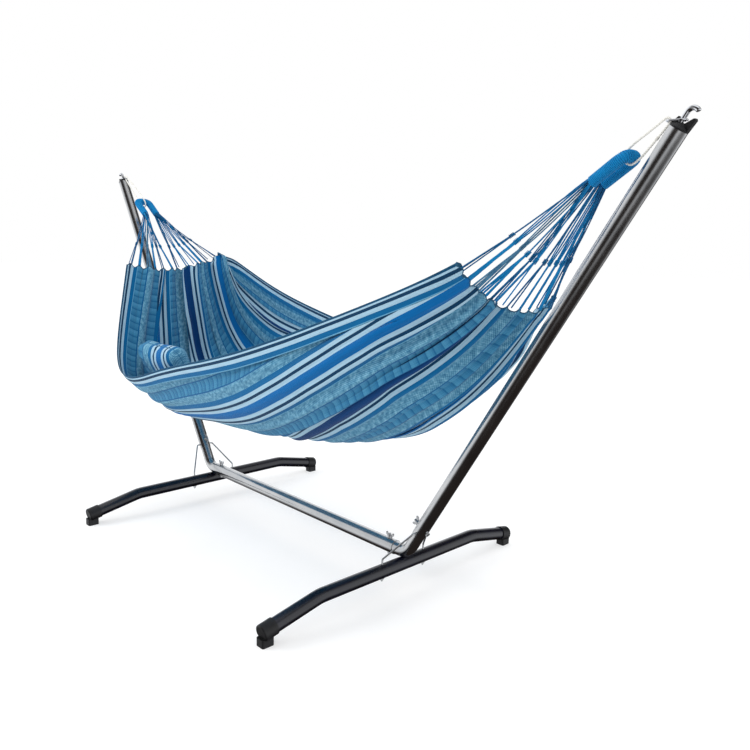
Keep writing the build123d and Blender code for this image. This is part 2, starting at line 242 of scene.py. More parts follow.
def stripe_stops(colours):
    """Stops of a stepped colour ramp over one repeat; colours gives each kind's colour."""
    stops, place = [], 0.0
    for width, kind in REPEAT:
        stops.append((place / REPEAT_WIDTH, colours.get(kind, BLACK)))
        place += width
    return stops


def woven_finish(name, inside):
    """Striped cotton, by the flat cloth's own coordinates. Inside, the check and the ladder change places."""
    finish = Finish(name, Sheen_Weight=0.1, Sheen_Roughness=0.45, Specular_IOR_Level=0.12)
    flat = finish.node("UVMap", uv_map="flat").outputs["UV"]
    parts = finish.node("SeparateXYZ", {"Vector": flat})
    along, across = parts.outputs["X"], parts.outputs["Y"]
    waver = finish.noise(flat, 6.0, 1.0)
    across = finish.math("ADD", across, finish.grey(waver, -0.0012, 0.0012))
    repeats = finish.math("DIVIDE", finish.math("SUBTRACT", across, FIRST_REPEAT), REPEAT_WIDTH)
    phase = finish.math("FRACT", repeats)
    odd = finish.math("MODULO", finish.math("ABSOLUTE", finish.math("FLOOR", repeats)), 2.0)

    swap = {"check": "ladder", "ladder": "check"} if inside else {}
    kinds = {kind: SHADES[swap.get(kind, kind)] for _, kind in REPEAT}
    colour = finish.ramp(phase, stripe_stops(kinds), steps=True)
    masks = {"wide": (1, 0, 0, 1), swap.get("check", "check"): (0, 1, 0, 1),
             swap.get("ladder", "ladder"): (0, 0, 1, 1)}
    masks = finish.node("SeparateColor", {"Color": finish.ramp(phase, stripe_stops(masks), steps=True)})
    is_wide, is_check, is_ladder = (masks.outputs[i] for i in range(3))
    colour = finish.blend(finish.math("MULTIPLY", is_wide, odd), colour, OTHER_WIDE)

    # Small checks with upright ticks, as a float weave makes them.
    patchy = finish.noise(flat, 75.0, 3.0)
    checks = finish.math("MULTIPLY", finish.wave(along, TICK), finish.wave(across, TICK_ROW))
    checks = finish.math("ADD", finish.math("MULTIPLY", checks, 0.6), finish.grey(patchy, -1.5, 1.5))
    check_tint = finish.ramp(finish.grey(checks, 0.0, 1.0, -1.0, 1.0), [
        (0.0, tone(40, 90, 129)), (0.40, tone(76, 131, 162)), (0.62, tone(97, 152, 182)),
        (1.0, tone(140, 190, 211))])
    colour = finish.blend(is_check, colour, check_tint)

    # Pale squares between darker rungs, every second square a little darker.
    rung = finish.math("FRACT", finish.math("DIVIDE", along, RUNG))
    rungs = finish.ramp(rung, [(0.0, tone(40, 101, 142)), (0.16, tone(74, 141, 178)),
                               (0.55, tone(67, 133, 171)), (0.8, tone(58, 122, 162))], steps=True)
    ribs = finish.grey(finish.wave(along, FINE_RIB), 0.0, 0.4, -1.0, 1.0)
    rungs = finish.blend(ribs, rungs, tone(41, 105, 149))
    pair = finish.math("FRACT", finish.math("DIVIDE", along, 2 * RUNG))
    rungs = finish.blend(finish.grey(pair, 0.0, 0.35, 0.45, 0.55), rungs, tone(30, 96, 140))
    colour = finish.blend(is_ladder, colour, rungs)

    # Both selvedges end in a dark edge.
    off_middle = finish.math("ABSOLUTE", finish.math("SUBTRACT", across, CLOTH_WIDTH / 2))
    edge = finish.math("SUBTRACT", CLOTH_WIDTH / 2, off_middle)
    colour = finish.blend(finish.math("LESS_THAN", edge, EDGE_STRIPE), colour, tone(18, 75, 111))

    # Threads of the warp along the cloth and of the weft across it, with slubs, and creases along the cloth.
    slub = finish.noise(finish.scaled(flat, (14.0, 420.0, 1.0)), 1.0)
    thread = finish.math("MULTIPLY", finish.wave(across, WARP), finish.wave(along, WEFT))
    thread = finish.math("ADD", thread, finish.math("MULTIPLY", slub, 1.6))
    shade = finish.grey(slub, 0.86, 1.12, 0.25, 0.75)
    shade = finish.node("CombineColor", {0: shade, 1: shade, 2: shade}).outputs[0]
    colour = finish.blend(1.0, colour, shade, "MULTIPLY")
    crease = finish.noise(finish.scaled(flat, (5.0, 34.0, 1.0)), 1.0, 4.0, 0.6)
    raised = finish.math("ADD", is_ladder, finish.math("MULTIPLY", is_check, 0.5))
    relief = finish.bump(crease, 0.006, 0.55)
    relief = finish.bump(raised, 0.0006, 0.5, relief)
    relief = finish.bump(thread, 0.0005, 0.5, relief)
    return finish.into(Base_Color=colour, Roughness=finish.grey(slub, 0.8, 0.95), Normal=relief)


# ---- shapes ----
ROPE_STRANDS, STRAND_DEPTH = 3, 0.14       # a twisted rope's strands, and the hollows between them by radius


def spline(knots, values, at):
    """Natural cubic spline through rows of values at knots, read at other places."""
    knots, values, at = np.asarray(knots, float), np.asarray(values, float), np.asarray(at, float)
    steps = np.diff(knots)
    count = len(knots)
    system, slopes = np.eye(count), np.zeros((count, values.shape[1]))
    for i in range(1, count - 1):
        system[i, i - 1:i + 2] = steps[i - 1], 2 * (steps[i - 1] + steps[i]), steps[i]
        after, before = (values[i + 1] - values[i]) / steps[i], (values[i] - values[i - 1]) / steps[i - 1]
        slopes[i] = 6 * (after - before)
    bend = np.linalg.solve(system, slopes)
    i = np.clip(np.searchsorted(knots, at) - 1, 0, count - 2)
    h, left, right = steps[i][:, None], (at - knots[i])[:, None], (knots[i + 1] - at)[:, None]
    out = (bend[i] * right ** 3 + bend[i + 1] * left ** 3) / (6 * h)
    out += (values[i] / h - bend[i] * h / 6) * right + (values[i + 1] / h - bend[i + 1] * h / 6) * left
    return out


def new_object(name, vertices, faces, finish):
    mesh = bpy.data.meshes.new(name)
    vertices = [tuple(v) for v in np.asarray(vertices, float)]
    mesh.from_pydata(vertices, [], [tuple(map(int, face)) for face in faces])
    mesh.polygons.foreach_set("use_smooth", [True] * len(mesh.polygons))
    mesh.materials.append(finish)
    made = bpy.data.objects.new(name, mesh)
    bpy.context.scene.collection.objects.link(made)
    return made


def grid_faces(rows, columns, closed=False):
    """Quads of a grid of points, row by row; closed joins the last column to the first."""
    across = columns if closed else columns - 1
    r, c = np.meshgrid(np.arange(rows - 1), np.arange(across), indexing="ij")
    following = (c + 1) % columns
    quads = np.stack([r * columns + c, r * columns + following, (r + 1) * columns + following,
                      (r + 1) * columns + c], -1)
    return quads.reshape(-1, 4)


def distance_along(path):
    """Each point's distance from the first one along the line."""
    return np.concatenate([[0.0], np.cumsum(np.linalg.norm(np.diff(path, axis=0), axis=1))])


def read_at(wanted, places, rows):
    """Rows of three values at places, read at other places."""
    return np.stack([np.interp(wanted, places, rows[:, i]) for i in range(3)], -1)


def sides_along(path):
    """Two unit sides at each point of a line, turned as little as possible from one point to the next."""
    path = np.asarray(path, float)
    tangents = np.gradient(path, axis=0)
    tangents /= np.linalg.norm(tangents, axis=1)[:, None]
    side = np.cross(tangents[0], (0.0, 0.0, 1.0))
    if np.linalg.norm(side) < 0.2:
        side = np.cross(tangents[0], (0.0, 1.0, 0.0))
    sides = []
    for tangent in tangents:
        side = side - tangent * np.dot(side, tangent)
        side = side / np.linalg.norm(side)
        sides.append(side)
    sides = np.array(sides)
    return sides, np.cross(tangents, sides)


def tube(path, radius, around=10, lay=0.0):
    """Vertices and faces of a closed tube. lay is the length of a rope's turn, and 0 makes a plain tube."""
    path = np.asarray(path, float)
    sides, ups = sides_along(path)
    distance = distance_along(path)
    angles = np.arange(around) * 2 * pi / around
    radius = np.broadcast_to(np.asarray(radius, float), (len(path),))
    profile = np.repeat(radius[:, None], around, axis=1)
    if lay:
        turned = angles[None, :] + distance[:, None] * 2 * pi / lay
        crowned = np.abs(np.cos(turned * ROPE_STRANDS / 2)) ** 0.7
        profile = profile * (1 - STRAND_DEPTH + STRAND_DEPTH * crowned)
    ring = path[:, None, :] + (sides[:, None, :] * (profile * np.cos(angles))[..., None]
                               + ups[:, None, :] * (profile * np.sin(angles))[..., None])
    vertices = ring.reshape(-1, 3)
    faces = [tuple(f) for f in grid_faces(len(path), around, closed=True)]
    last = (len(path) - 1) * around
    faces.append(tuple(range(around))[::-1])
    faces.append(tuple(range(last, last + around)))
    return vertices, faces


def joined(shapes):
    """Several (vertices, faces) as one."""
    vertices, faces, count = [], [], 0
    for points, quads in shapes:
        vertices.append(points)
        faces += [tuple(i + count for i in face) for face in quads]
        count += len(points)
    return np.concatenate(vertices), faces


def nurbs_line(points, spacing=0.003):
    """Evenly spaced points on the smooth line that has points as its control points."""
    curve = bpy.data.curves.new("route", "CURVE")
    curve.dimensions, curve.resolution_u = "3D", 24
    run = curve.splines.new("NURBS")
    run.points.add(len(points) - 1)
    for control, point in zip(run.points, points):
        control.co = (*point, 1.0)
    run.order_u, run.use_endpoint_u = 3, True
    carrier = bpy.data.objects.new("route", curve)
    bpy.context.scene.collection.objects.link(carrier)
    bpy.context.view_layer.update()
    mesh = bpy.data.meshes.new_from_object(carrier)
    line = np.array([vertex.co[:] for vertex in mesh.vertices])
    bpy.data.objects.remove(carrier)
    bpy.data.curves.remove(curve)
    bpy.data.meshes.remove(mesh)
    distance = distance_along(line)
    count = max(8, int(distance[-1] / spacing) + 1)
    return read_at(np.linspace(0.0, distance[-1], count), distance, line)


def length_of(path):
    return float(distance_along(path)[-1])


# ---- cloth ----
STATIONS = (  # x, then (y, z) of the front selvedge, of the lowest line and of the back selvedge
    (-0.890, (-0.222, 1.004), (-0.008, 0.978), (0.222, 1.040)),
    (-0.852, (-0.272, 0.820), (-0.044, 0.745), (0.262, 1.025)),
    (-0.790, (-0.325, 0.612), (-0.072, 0.500), (0.296, 0.990)),
    (-0.640, (-0.366, 0.565), (-0.084, 0.405), (0.324, 0.920)),
    (-0.300, (-0.392, 0.635), (-0.068, 0.388), (0.338, 0.825)),
    (0.100, (-0.388, 0.735), (-0.038, 0.405), (0.344, 0.765)),
    (0.500, (-0.352, 0.865), (0.002, 0.490), (0.328, 0.795)),
    (0.800, (-0.272, 0.990), (0.026, 0.660), (0.280, 0.845)),
    (0.950, (-0.222, 1.067), (0.030, 0.940), (0.222, 0.965)),
)
CLOTH_THICKNESS = 0.0014
CLOTH_ROWS, ARC_POINTS = 230, 161
PANEL_STEP = 0.0052        # between columns of points
BEND_R = 0.0016            # of the cloth where it turns back in a flat fold
BEND_LENGTH, BEND_STEPS = pi * BEND_R, 5
SMALLEST_BACK = 0.001      # least length that lies turned back
EASING = np.linspace(-0.09, 0.09, 13)
# A flat fold hides some of the width. Each has its lip's place across the flat cloth and its hidden width,
# both as (place along the cloth from left 0 to right 1, metres), then whether the part before the lip lies
# outside, and the number of layers.
FOLDS = (
    (((0, 0.051), (1, 0.051)),
     ((0, 0.0), (0.40, 0.0), (0.50, 0.02), (0.60, 0.05), (0.66, 0.075), (0.74, 0.12), (0.87, 0.185),
      (1, 0.190)), True, 2),
    (((0, 0.205), (1, 0.205)), ((0, 0.115), (0.10, 0.07), (0.24, 0.0), (1, 0.0)), False, 2),
    (((0, 0.445), (0.4, 0.430), (1, 0.427)),
     ((0, 0.11), (0.15, 0.08), (0.34, 0.0), (0.56, 0.0), (0.68, 0.08), (0.87, 0.105), (1, 0.115)), True, 2),
    (((0, 0.665), (1, 0.665)), ((0, 0.05), (0.30, 0.0), (1, 0.0)), True, 1),
    (((0, 0.850), (0.5, 0.835), (1, 0.811)),
     ((0, 0.09), (0.2, 0.05), (0.45, 0.02), (0.70, 0.03), (0.87, 0.05), (1, 0.06)), False, 1),
)
RIPPLES = ((0, 0.95), (0.10, 0.80), (0.25, 0.42), (0.50, 0.22), (0.70, 0.45), (0.87, 0.85), (1, 1.0))
CALM_EDGE = 0.07           # the ripples fade over this width at a selvedge
HEM_SCALLOP, SCALLOP_REACH = 0.012, 0.07
SPARE_FOLDS = (1.000, 1.100, 1.190, 1.285)     # folds on the back side that take up what is left of the width


def arcs_through(front, low, back, count):
    """Points of the circle arcs from front by low to back, and the arcs' lengths. All points are (y, z)."""
    a, b = low - front, back - front
    d = 2 * (a[:, 0] * b[:, 1] - a[:, 1] * b[:, 0])
    aa, bb = (a ** 2).sum(1), (b ** 2).sum(1)
    centre = np.stack([(b[:, 1] * aa - a[:, 1] * bb) / d, (a[:, 0] * bb - b[:, 0] * aa) / d], -1) + front
    radius = np.linalg.norm(front - centre, axis=1)
    first, last = (np.arctan2(*(p - centre).T[::-1]) for p in (front, back))
    last = np.where(last < first, last + 2 * pi, last)
    turn = np.linspace(0, 1, count)[None, :]
    angle = first[:, None] * (1 - turn) + last[:, None] * turn
    points = centre[:, None, :] + radius[:, None, None] * np.stack([np.cos(angle), np.sin(angle)], -1)
    return points, radius * (last - first)


def eased(at, points):
    """Straight runs through (place, value) pairs with their corners eased."""
    places, values = zip(*points)
    return float(np.interp(at + EASING, places, values).mean())


def fold_turn(hidden):
    """How far a fold's cloth turns back, and the length that lies turned back, for a hidden width."""
    least = 2 * BEND_LENGTH + 2 * SMALLEST_BACK
    if hidden >= least:
        return pi, (hidden - 2 * BEND_LENGTH) / 2
    low, high = 0.0, pi
    for _ in range(30):
        angle = (low + high) / 2
        taken = 2 * BEND_LENGTH * (1 - (sin(angle) / angle if angle > 1e-6 else 1.0))
        taken += SMALLEST_BACK * (1 - cos(angle))
        low, high = (angle, high) if taken < hidden else (low, angle)
    return (low + high) / 2, SMALLEST_BACK


def ripple(flat, u, strength):
    """Heading of the fine lengthwise ripples at places across the flat cloth."""
    wander = 0.8 * np.sin(2 * pi * flat / 0.37 + 1.3) + 0.5 * np.sin(2 * pi * flat / 0.23)
    fine = np.sin(2 * pi * flat / 0.0573 + wander)
    broad = np.sin(2 * pi * flat / 0.121 + 0.7 + 0.6 * wander)
    left = np.clip((0.30 - u) / 0.30, 0.0, 1.0)
    from_edge = np.clip(np.minimum(flat, CLOTH_WIDTH - flat) / CALM_EDGE, 0.2, 1.0)
    return strength * from_edge * ((1 - 0.75 * left) * fine + (0.25 + 0.75 * left) * broad)


def panel_counts():
    """Number of columns of each panel between folds, from the panels' widths at the middle of the cloth."""
    lips = [eased(0.5, lips) for lips, _, _, _ in FOLDS] + list(SPARE_FOLDS)
    widths = np.diff([0.0] + lips + [CLOTH_WIDTH])
    return [max(3, int(round(width / PANEL_STEP))) for width in widths]


def row_segments(u, strength, spare, counts):
    """The row's panels and folds in order, each as (flat places, headings, whether it is a panel)."""
    folds = [(eased(u, lips), eased(u, widths), before, layers)
             for lips, widths, before, layers in FOLDS]
    folds += [(lip, spare / len(SPARE_FOLDS), True, 1) for lip in SPARE_FOLDS]
    start = 0.0
    for (lip, hidden, before, layers), count in zip(folds, counts):
        flat = np.linspace(start, max(lip, start + 0.004), count + 1)
        yield flat, ripple((flat[1:] + flat[:-1]) / 2, u, strength), True
        start = flat[-1]
        turn, back = fold_turn(hidden / layers)
        turn *= -1.0 if before else 1.0
        rising = (np.arange(BEND_STEPS) + 0.5) / BEND_STEPS
        level = np.ones(BEND_STEPS)
        for _ in range(layers):
            for length, angles in ((BEND_LENGTH, rising), (back, level), (BEND_LENGTH, rising[::-1]),
                                   (back, 0 * level)):
                flat = np.linspace(start, start + length, len(angles) + 1)
                yield flat, turn * angles, False
                start = flat[-1]
    flat = np.linspace(start, CLOTH_WIDTH, counts[-1] + 1)
    yield flat, ripple((flat[1:] + flat[:-1]) / 2, u, strength), True


def lay_row(u, strength, spare, counts):
    """Flat places across the cloth, places along the arc and offsets from it. Panels end back on the arc."""
    flats, arcs, offsets = [0.0], [0.0], [0.0]
    for flat, heading, panel in row_segments(u, strength, spare, counts):
        width = np.diff(flat)
        away = offsets[-1] + np.cumsum(np.sin(heading) * width)
        if panel:
            away -= away[-1] * (flat[1:] - flat[0]) / (flat[-1] - flat[0])
        flats.extend(flat[1:])
        arcs.extend(arcs[-1] + np.cumsum(np.cos(heading) * width))
        offsets.extend(away)
    return np.array(flats), np.array(arcs), np.array(offsets)


def row_across(u, target, counts):
    """One row of the cloth laid on an arc of the target length. The spare folds take up what the set folds
    and the ripples leave, and where that is nothing the ripples are less."""
    strength, spare = eased(u, RIPPLES), 0.0
    slack = lay_row(u, strength, 0.0, counts)[1][-1] - target
    low, high = (0.0, slack * 1.5) if slack > 0 else (0.0, strength)
    for _ in range(14):
        middle = (low + high) / 2
        if slack > 0:
            spare = middle
        else:
            strength = middle
        flat, arc, off = lay_row(u, strength, spare, counts)
        low, high = (middle, high) if arc[-1] > target else (low, middle)
    return flat, arc / arc[-1], off


def cloth_surface():
    """The cloth's middle surface as rows of points from the left hem to the right one, its flat coordinates,
    and how far along its row's arc each point is."""
    rows = np.array([(x, *front, *low, *back) for x, front, low, back in STATIONS])
    knots = distance_along(rows[:, [0, 3, 4]])
    u = np.linspace(0.0, 1.0, CLOTH_ROWS)
    smooth = spline(knots / knots[-1], rows, u)
    arcs, lengths = arcs_through(smooth[:, 1:3], smooth[:, 3:5], smooth[:, 5:7], ARC_POINTS)
    base = np.concatenate([np.broadcast_to(smooth[:, None, :1], arcs.shape[:2] + (1,)), arcs], -1)
    along, across = np.gradient(base, axis=0), np.gradient(base, axis=1)
    along /= np.linalg.norm(along, axis=-1, keepdims=True)
    outward = np.cross(across, along)
    outward /= np.linalg.norm(outward, axis=-1, keepdims=True)
    counts = panel_counts()
    points, flats, shares = [], [], []
    places = np.arange(ARC_POINTS) / (ARC_POINTS - 1)
    for row in range(CLOTH_ROWS):
        flat, share, off = row_across(u[row], lengths[row], counts)
        at, out, onwards = (read_at(share, places, field[row]) for field in (base, outward, along))
        # Between two cord bundles the hem sits back a little.
        from_end = min(u[row], 1 - u[row]) * CLOTH_LENGTH
        scallop = HEM_SCALLOP * (0.5 + 0.5 * np.cos(2 * pi * CORDS_PER_END * share))
        scallop *= max(0.0, 1 - from_end / SCALLOP_REACH) * (1.0 if u[row] < 0.5 else -1.0)
        points.append(at + out * off[:, None] + onwards * scallop[:, None])
        flats.append(np.stack([np.full(len(flat), u[row] * CLOTH_LENGTH), flat], -1))
        shares.append(share)
    return np.array(points), np.array(flats), shares


def add_cloth():
    """The striped sheet with its two faces, its hems and its corded selvedges. Returns each end's hem."""
    points, flats, shares = cloth_surface()
    rows, columns = points.shape[:2]
    cloth = new_object("striped_sheet", points.reshape(-1, 3), grid_faces(rows, columns),
                       woven_finish("cloth_outside", inside=False))
    cloth.data.materials.append(woven_finish("cloth_inside", inside=True))
    layer = cloth.data.uv_layers.new(name="flat")
    corners = np.empty(len(cloth.data.loops), dtype=np.int32)
    cloth.data.loops.foreach_get("vertex_index", corners)
    layer.data.foreach_set("uv", flats.reshape(-1, 2)[corners].astype(np.float32).ravel())
    shell = cloth.modifiers.new("thickness", "SOLIDIFY")
    shell.thickness, shell.offset, shell.material_offset = CLOTH_THICKNESS, 0.0, 1
    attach(cloth, "hammock")
    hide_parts("hammock_cloth")

    edging = yarn_finish("edging_yarn", tone(14, 50, 78), tone(48, 100, 130))
    borders = {"hem_left": points[0], "hem_right": points[-1],
               "selvedge_front": points[:, 0], "selvedge_back": points[:, -1]}
    for name, line in borders.items():
        border = new_object(name, *tube(line, 0.0017, around=8), edging)
        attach(border, "hammock")
    return {"left": (points[0], shares[0]), "right": (points[-1], shares[-1])}


# ---- end loops, cords and hanging ropes ----
LOOP_TIP = {"right": Vector((1.278, 0.0, 1.328)), "left": Vector((-1.196, 0.0, 1.283))}
LOOP_TILT = radians(35)
LOOP_BAND_R, LOOP_HALF_WIDTH, LOOP_LENGTH = 0.015, 0.028, 0.115
LOOP_CORE_R, LOOP_WINDING_R, LOOP_CORD_R, LOOP_PITCH = 0.0126, 0.0131, 0.0018, 0.0037
CORDS_PER_END = 12
CORD_RING_R, CORD_START_GAP = 0.0095, 0.003
KNOT_SHARE = 0.60          # a bundle's knot, from the end loop towards the cloth
CORD_D, STRING_R = 0.0042, 0.0018
STRING_OFF, STRING_BULGE = 0.0024, 0.0040      # strings' distance from the main cord, and more at mid-length
# One row for each bundle from the front selvedge to the back: strings above the knot, strands below it, the
# strands' radius, how far they spread on the hem as a share of the arc, and the shade.
BUNDLES = (
    (2, 2, 0.0018, 0.030, 0), (4, 3, 0.0034, 0.012, 1), (4, 4, 0.0025, 0.026, 2), (3, 3, 0.0027, 0.014, 1),
    (3, 2, 0.0022, 0.012, 0), (3, 2, 0.0027, 0.010, 1), (3, 2, 0.0024, 0.008, 0), (3, 2, 0.0026, 0.008, 1),
    (3, 2, 0.0028, 0.008, 1), (4, 3, 0.0034, 0.010, 1), (3, 2, 0.0024, 0.010, 0), (2, 2, 0.0018, 0.030, 0),
)


def loop_direction(end):
    return Vector((ENDS[end] * cos(LOOP_TILT), 0.0, sin(LOOP_TILT)))


def helix(path, radius, pitch, per_turn=16):
    """A line wound round a path."""
    distance = distance_along(path)
    wanted = np.linspace(0.0, distance[-1], int(distance[-1] / pitch * per_turn))
    centre, side, up = (read_at(wanted, distance, field) for field in (path, *sides_along(path)))
    angle = (wanted * 2 * pi / pitch)[:, None]
    return centre + (side * np.cos(angle) + up * np.sin(angle)) * radius


def add_end_loop(end, finish):
    """A U of bundled strings wound tightly with cord over its whole length."""
    d = loop_direction(end)
    turn = LOOP_TIP[end] - d * (LOOP_BAND_R + LOOP_HALF_WIDTH)
    half = ((0.028, -0.072), (0.028, -0.030), (0.029, 0.018), (0.014, 0.028))
    outline = [(-y, along) for y, along in half] + list(half[::-1])
    line = nurbs_line([turn + Vector((0, y, 0)) + d * along for y, along in outline])
    winding = helix(line, LOOP_WINDING_R, LOOP_PITCH)
    shapes = [tube(line, LOOP_CORE_R, around=20), tube(winding, LOOP_CORD_R, around=7)]
    loop = new_object(f"wound_loop_{end}", *joined(shapes), finish)
    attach(loop, "hammock")
    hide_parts(f"end_loop_{end}")


def hem_point(hem, share):
    """The point of the hem at a share of its arc."""
    points, shares = hem
    return points[np.argmin(np.abs(shares - share))]


def arc_tie(end, share):
    """Where a bundle meets the cloth's end arc."""
    x, front, low, back = STATIONS[-1 if end == "right" else 0]
    rows = [np.array([point]) for point in (front, low, back)]
    arc, _ = arcs_through(*rows, 97)
    y, z = (np.interp(share, np.arange(97) / 96, arc[0][:, i]) for i in range(2))
    return Vector((x, y, z))


def add_bundle(end, index, hem, finishes):
    """A main cord from the end loop to the hem, strings beside it, a knot, and strands that fan out below."""
    strings, strands, strand_r, spread, shade = BUNDLES[index]
    per_leg = CORDS_PER_END // 2
    way = -1 if index < per_leg else 1
    angle = 2 * pi * (index % per_leg + 0.5) / per_leg
    d = loop_direction(end)
    normal = Vector((-d.z, 0, d.x))
    leg = LOOP_TIP[end] - d * (LOOP_LENGTH + CORD_START_GAP) + Vector((0, way * LOOP_HALF_WIDTH, 0))
    start = leg + normal * (CORD_RING_R * sin(angle)) + Vector((0, -CORD_RING_R * cos(angle), 0))
    share = (index + 0.5) / CORDS_PER_END
    tie = arc_tie(end, share)
    run = tie - start
    droop = Vector((0, 0, -0.004))
    route = [start, start + run * 0.08 - d * 0.002, start + run * 0.45 + droop,
             start + run * KNOT_SHARE + droop, start + run * 0.8 + droop / 2, tie - run.normalized() * 0.001]
    line = nurbs_line(route, 0.004)
    main = new_object(f"cord_{end}_{index + 1:02d}", *tube(line, CORD_D / 2, lay=0.016), finishes[shade])

    knot = int(len(line) * KNOT_SHARE)
    upper, lower = line[:knot + 1], line[knot:]
    sides, ups = sides_along(line)
    away = STRING_OFF + STRING_BULGE * np.sin(np.linspace(0.0, pi, knot + 1)) ** 0.6
    shapes = []
    for number in range(1, strings):
        apart = 2 * pi * number / max(strings - 1, 2) + index
        offset = sides[:knot + 1] * cos(apart) + ups[:knot + 1] * sin(apart)
        shapes.append(tube(upper + offset * away[:, None], STRING_R, around=7, lay=0.010))
    for number in range(strands):
        place = share + spread * ((number + 0.5) / strands - 0.5) * 2
        foot = hem_point(hem, min(max(place, 0.004), 0.996))
        fall = np.linspace(0.0, 1.0, len(lower))[:, None]
        twist = number * 2.4
        beside = (sides[knot:] * cos(twist) + ups[knot:] * sin(twist)) * STRING_R * (1 - fall)
        shapes.append(tube(lower + (foot - lower[-1]) * fall ** 0.85 + beside, strand_r, around=9, lay=0.014))
    around_knot = line[max(0, knot - 2):knot + 3]
    shapes.append(tube(helix(around_knot, 0.0022 + strand_r, 0.0036, 12), 0.0013, around=6))
    detail = new_object(f"strands_{end}_{index + 1:02d}", *joined(shapes), finishes[shade])
    for piece in (main, detail):
        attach(piece, "hammock")
    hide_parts(f"suspension_cords_{end}")
    length_of(line)


RING_LOW = (1.343097, 1.388827)     # |x| and z of the hanging ring's free end
# Hanging rope in its own plane: along from the ring's free end towards the end loop, and to the side. It is
# drawn for a span of ROPE_SPAN between the two.
ROPE_ROUTE = (
    (0.034, 0.0125), (0.060, 0.0160), (0.095, 0.0200), (0.1225, 0.0150), (0.1225, -0.0150),
    (0.095, -0.0200), (0.040, -0.0120), (0.006, -0.0088), (-0.0078, -0.0060), (-0.0078, 0.0060),
    (0.006, 0.0088), (0.034, 0.0125),
)
ROPE_SPAN = 0.104
ROPE_D, ROPE_LAY = 0.006, 0.018
ROPE_STRAND_OFF, ROPE_STRAND_R = 0.0014, 0.00155


def add_hanging_rope(end, finish):
    """Pale three-strand rope from the ring round the end loop and back, whipped where its ends meet."""
    sign = ENDS[end]
    ring = Vector((sign * RING_LOW[0], 0.0, RING_LOW[1]))
    band = LOOP_TIP[end] - loop_direction(end) * LOOP_BAND_R
    h = (band - ring).normalized()
    n = Vector((-h.z, 0, h.x))
    reach = (band - ring).length / ROPE_SPAN
    route = [ring + h * (a * reach) + n * b for a, b in ROPE_ROUTE]
    line = nurbs_line(route, 0.002)
    sides, ups = sides_along(line)
    turns = distance_along(line)[:, None] / ROPE_LAY
    shapes = []
    for strand in range(ROPE_STRANDS):
        turned = (turns + strand / ROPE_STRANDS) * 2 * pi
        away = (sides * np.cos(turned) + ups * np.sin(turned)) * ROPE_STRAND_OFF
        shapes.append(tube(line + away, ROPE_STRAND_R, around=8))
    rope = new_object(f"rope_{end}", *joined(shapes), finish)
    thread = helix(line[:5], 0.0033, 0.0016, 12)
    whipping = new_object(f"rope_whipping_{end}", *tube(thread, 0.0008, around=6), finish)
    for piece in (rope, whipping):
        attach(piece, "hammock")
    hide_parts(f"hanging_rope_{end}")
    length_of(line)


# ---- pillow ----
PILLOW_CENTRE = Vector((-0.600, -0.198, 0.594))
PILLOW_SIZE, PILLOW_PARTS = (0.330, 0.200, 0.115), (30, 20, 10)
PILLOW_LEAN = radians(25)
PILLOW_ROUND = 0.045
SEAM_REACH = 0.012         # the side seam pulls the cover in this far up and down from it


def pillow_block():
    """A closed block with rounded edges, a little smaller than the pillow."""
    shape = bmesh.new()
    bmesh.ops.create_cube(shape, size=2.0)
    for axis, parts in enumerate(PILLOW_PARTS):
        edges = [e for e in shape.edges if abs((e.verts[0].co - e.verts[1].co)[axis]) > 1.0]
        bmesh.ops.subdivide_edges(shape, edges=edges, cuts=parts - 1, use_grid_fill=True)
    half = Vector(PILLOW_SIZE) * 0.46
    core = Vector([side - PILLOW_ROUND for side in half])
    for vertex in shape.verts:
        point = Vector([a * b for a, b in zip(vertex.co, half)])
        inner = Vector([min(max(a, -b), b) for a, b in zip(point, core)])
        out_of_core = point - inner
        outside = out_of_core.length > 0
        vertex.co = inner + out_of_core.normalized() * PILLOW_ROUND if outside else point
    return shape


def inflate(pillow):
    """Fills the cover with Blender's cloth pressure and keeps the result."""
    cloth = pillow.modifiers.new("fill", "CLOTH")
    settings = cloth.settings
    settings.quality, settings.mass = 6, 0.2
    settings.tension_stiffness = settings.compression_stiffness = 10.0
    settings.shear_stiffness, settings.bending_stiffness = 4.0, 0.04
    settings.use_pressure, settings.uniform_pressure_force = True, 4.0
    settings.effector_weights.gravity = 0.0
    scene = bpy.context.scene
    for moment in range(1, 21):
        scene.frame_set(moment)
    shaped = bpy.data.meshes.new_from_object(pillow.evaluated_get(bpy.context.evaluated_depsgraph_get()))
    pillow.modifiers.clear()
    for vertex, point in zip(pillow.data.vertices, shaped.vertices):
        vertex.co = point.co
    bpy.data.meshes.remove(shaped)
    scene.frame_set(1)


